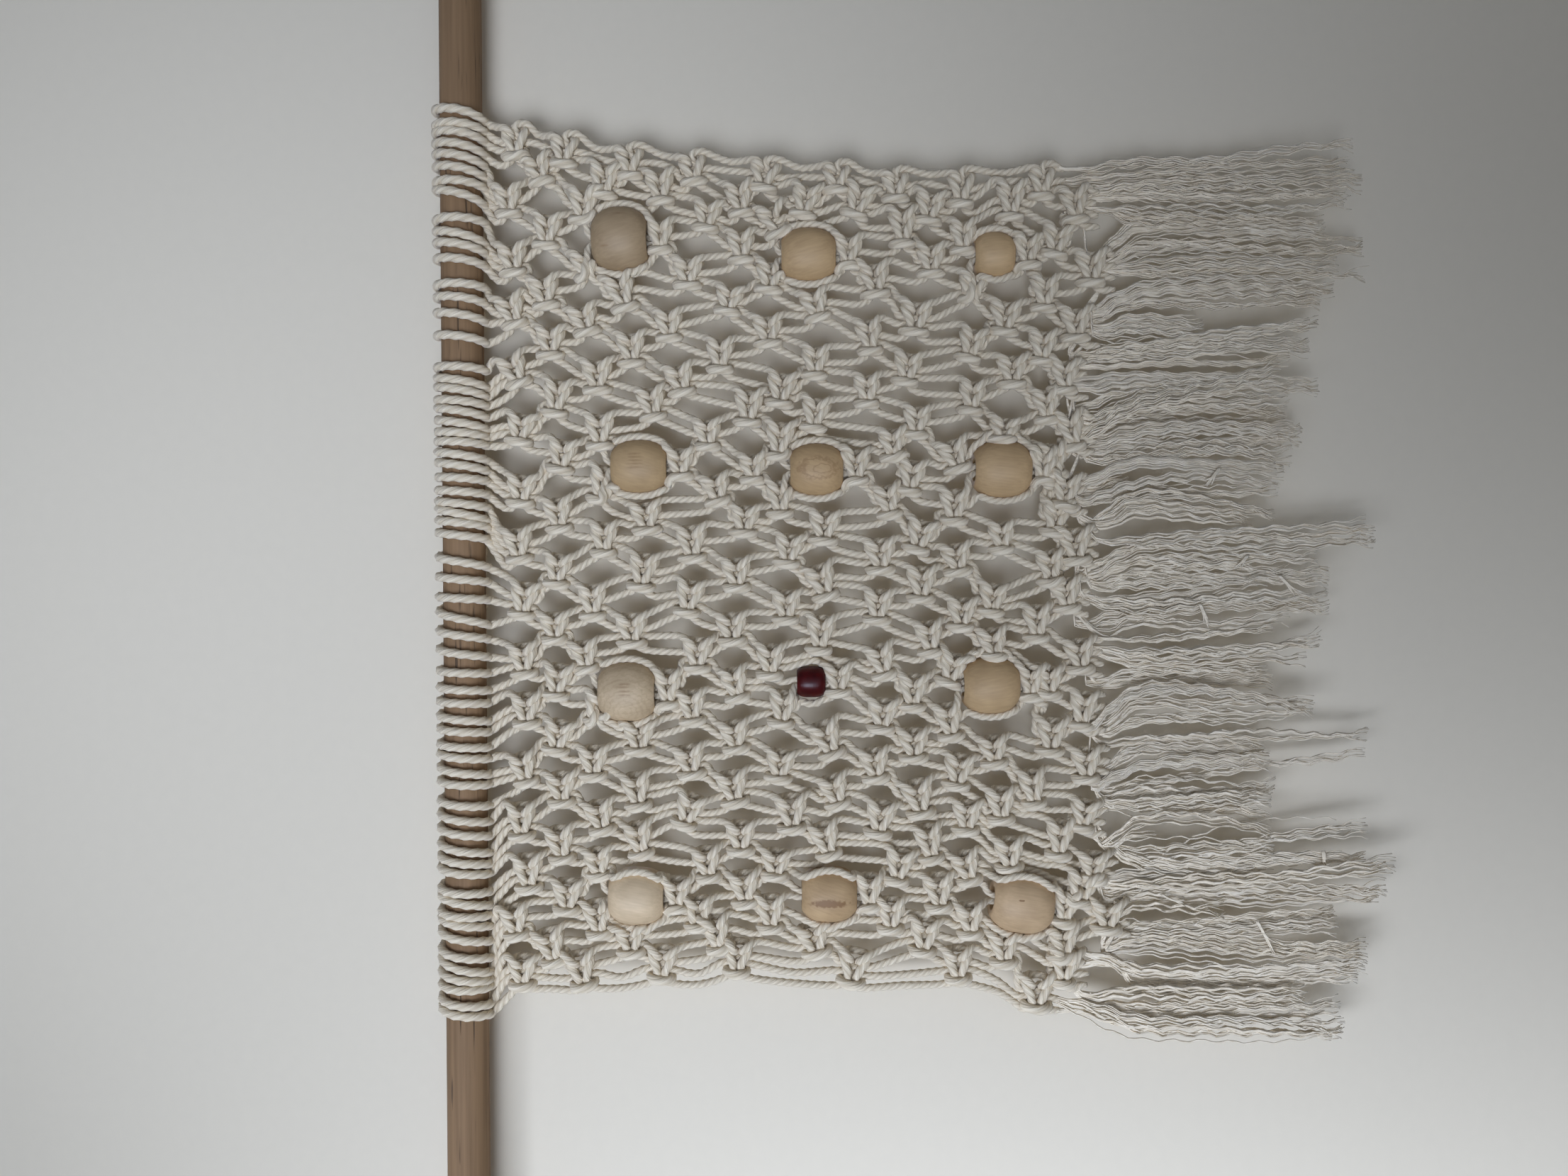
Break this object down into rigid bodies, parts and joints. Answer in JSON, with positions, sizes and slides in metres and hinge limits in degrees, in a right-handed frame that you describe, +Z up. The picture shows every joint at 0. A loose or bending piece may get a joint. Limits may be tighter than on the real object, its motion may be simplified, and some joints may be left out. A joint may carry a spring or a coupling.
{
  "type": "macrame wall hanging on a wooden rod",
  "caption": "Cotton macrame wall hanging knotted over a plain wooden rod, with wooden beads threaded among its square knots and a combed-out fringe.",
  "frame": {"origin": "on the rod's axis, at the middle of the cloth", "axes": "+X along the rod to the right as seen from the front, +Z up, -Y out of the front, away from the wall"},
  "size_m": [0.5, 0.0238, 0.3506],
  "materials": {
    "cotton": "matte twisted cotton cord, undyed",
    "rod_wood": "medium brown, dull, fine lengthwise grain",
    "bead_wood": "pale, sanded, unvarnished",
    "red_gloss": "dark red, glossy"
  },
  "bodies": {
    "root": {"rod": "rod_wood", "heading_1": "cotton", "heading_2": "cotton", "heading_3": "cotton", "heading_4": "cotton", "heading_5": "cotton", "heading_6": "cotton", "heading_7": "cotton", "heading_8": "cotton", "net": "cotton", "fringe": "cotton", "bead_1_1": "bead_wood", "bead_1_2": "bead_wood", "bead_1_3": "bead_wood", "bead_1_4": "bead_wood", "bead_2_1": "bead_wood", "bead_2_2": "red_gloss", "bead_2_3": "bead_wood", "bead_2_4": "bead_wood", "bead_3_1": "bead_wood", "bead_3_2": "bead_wood", "bead_3_3": "bead_wood", "bead_3_4": "bead_wood"}
  },
  "joints": []
}
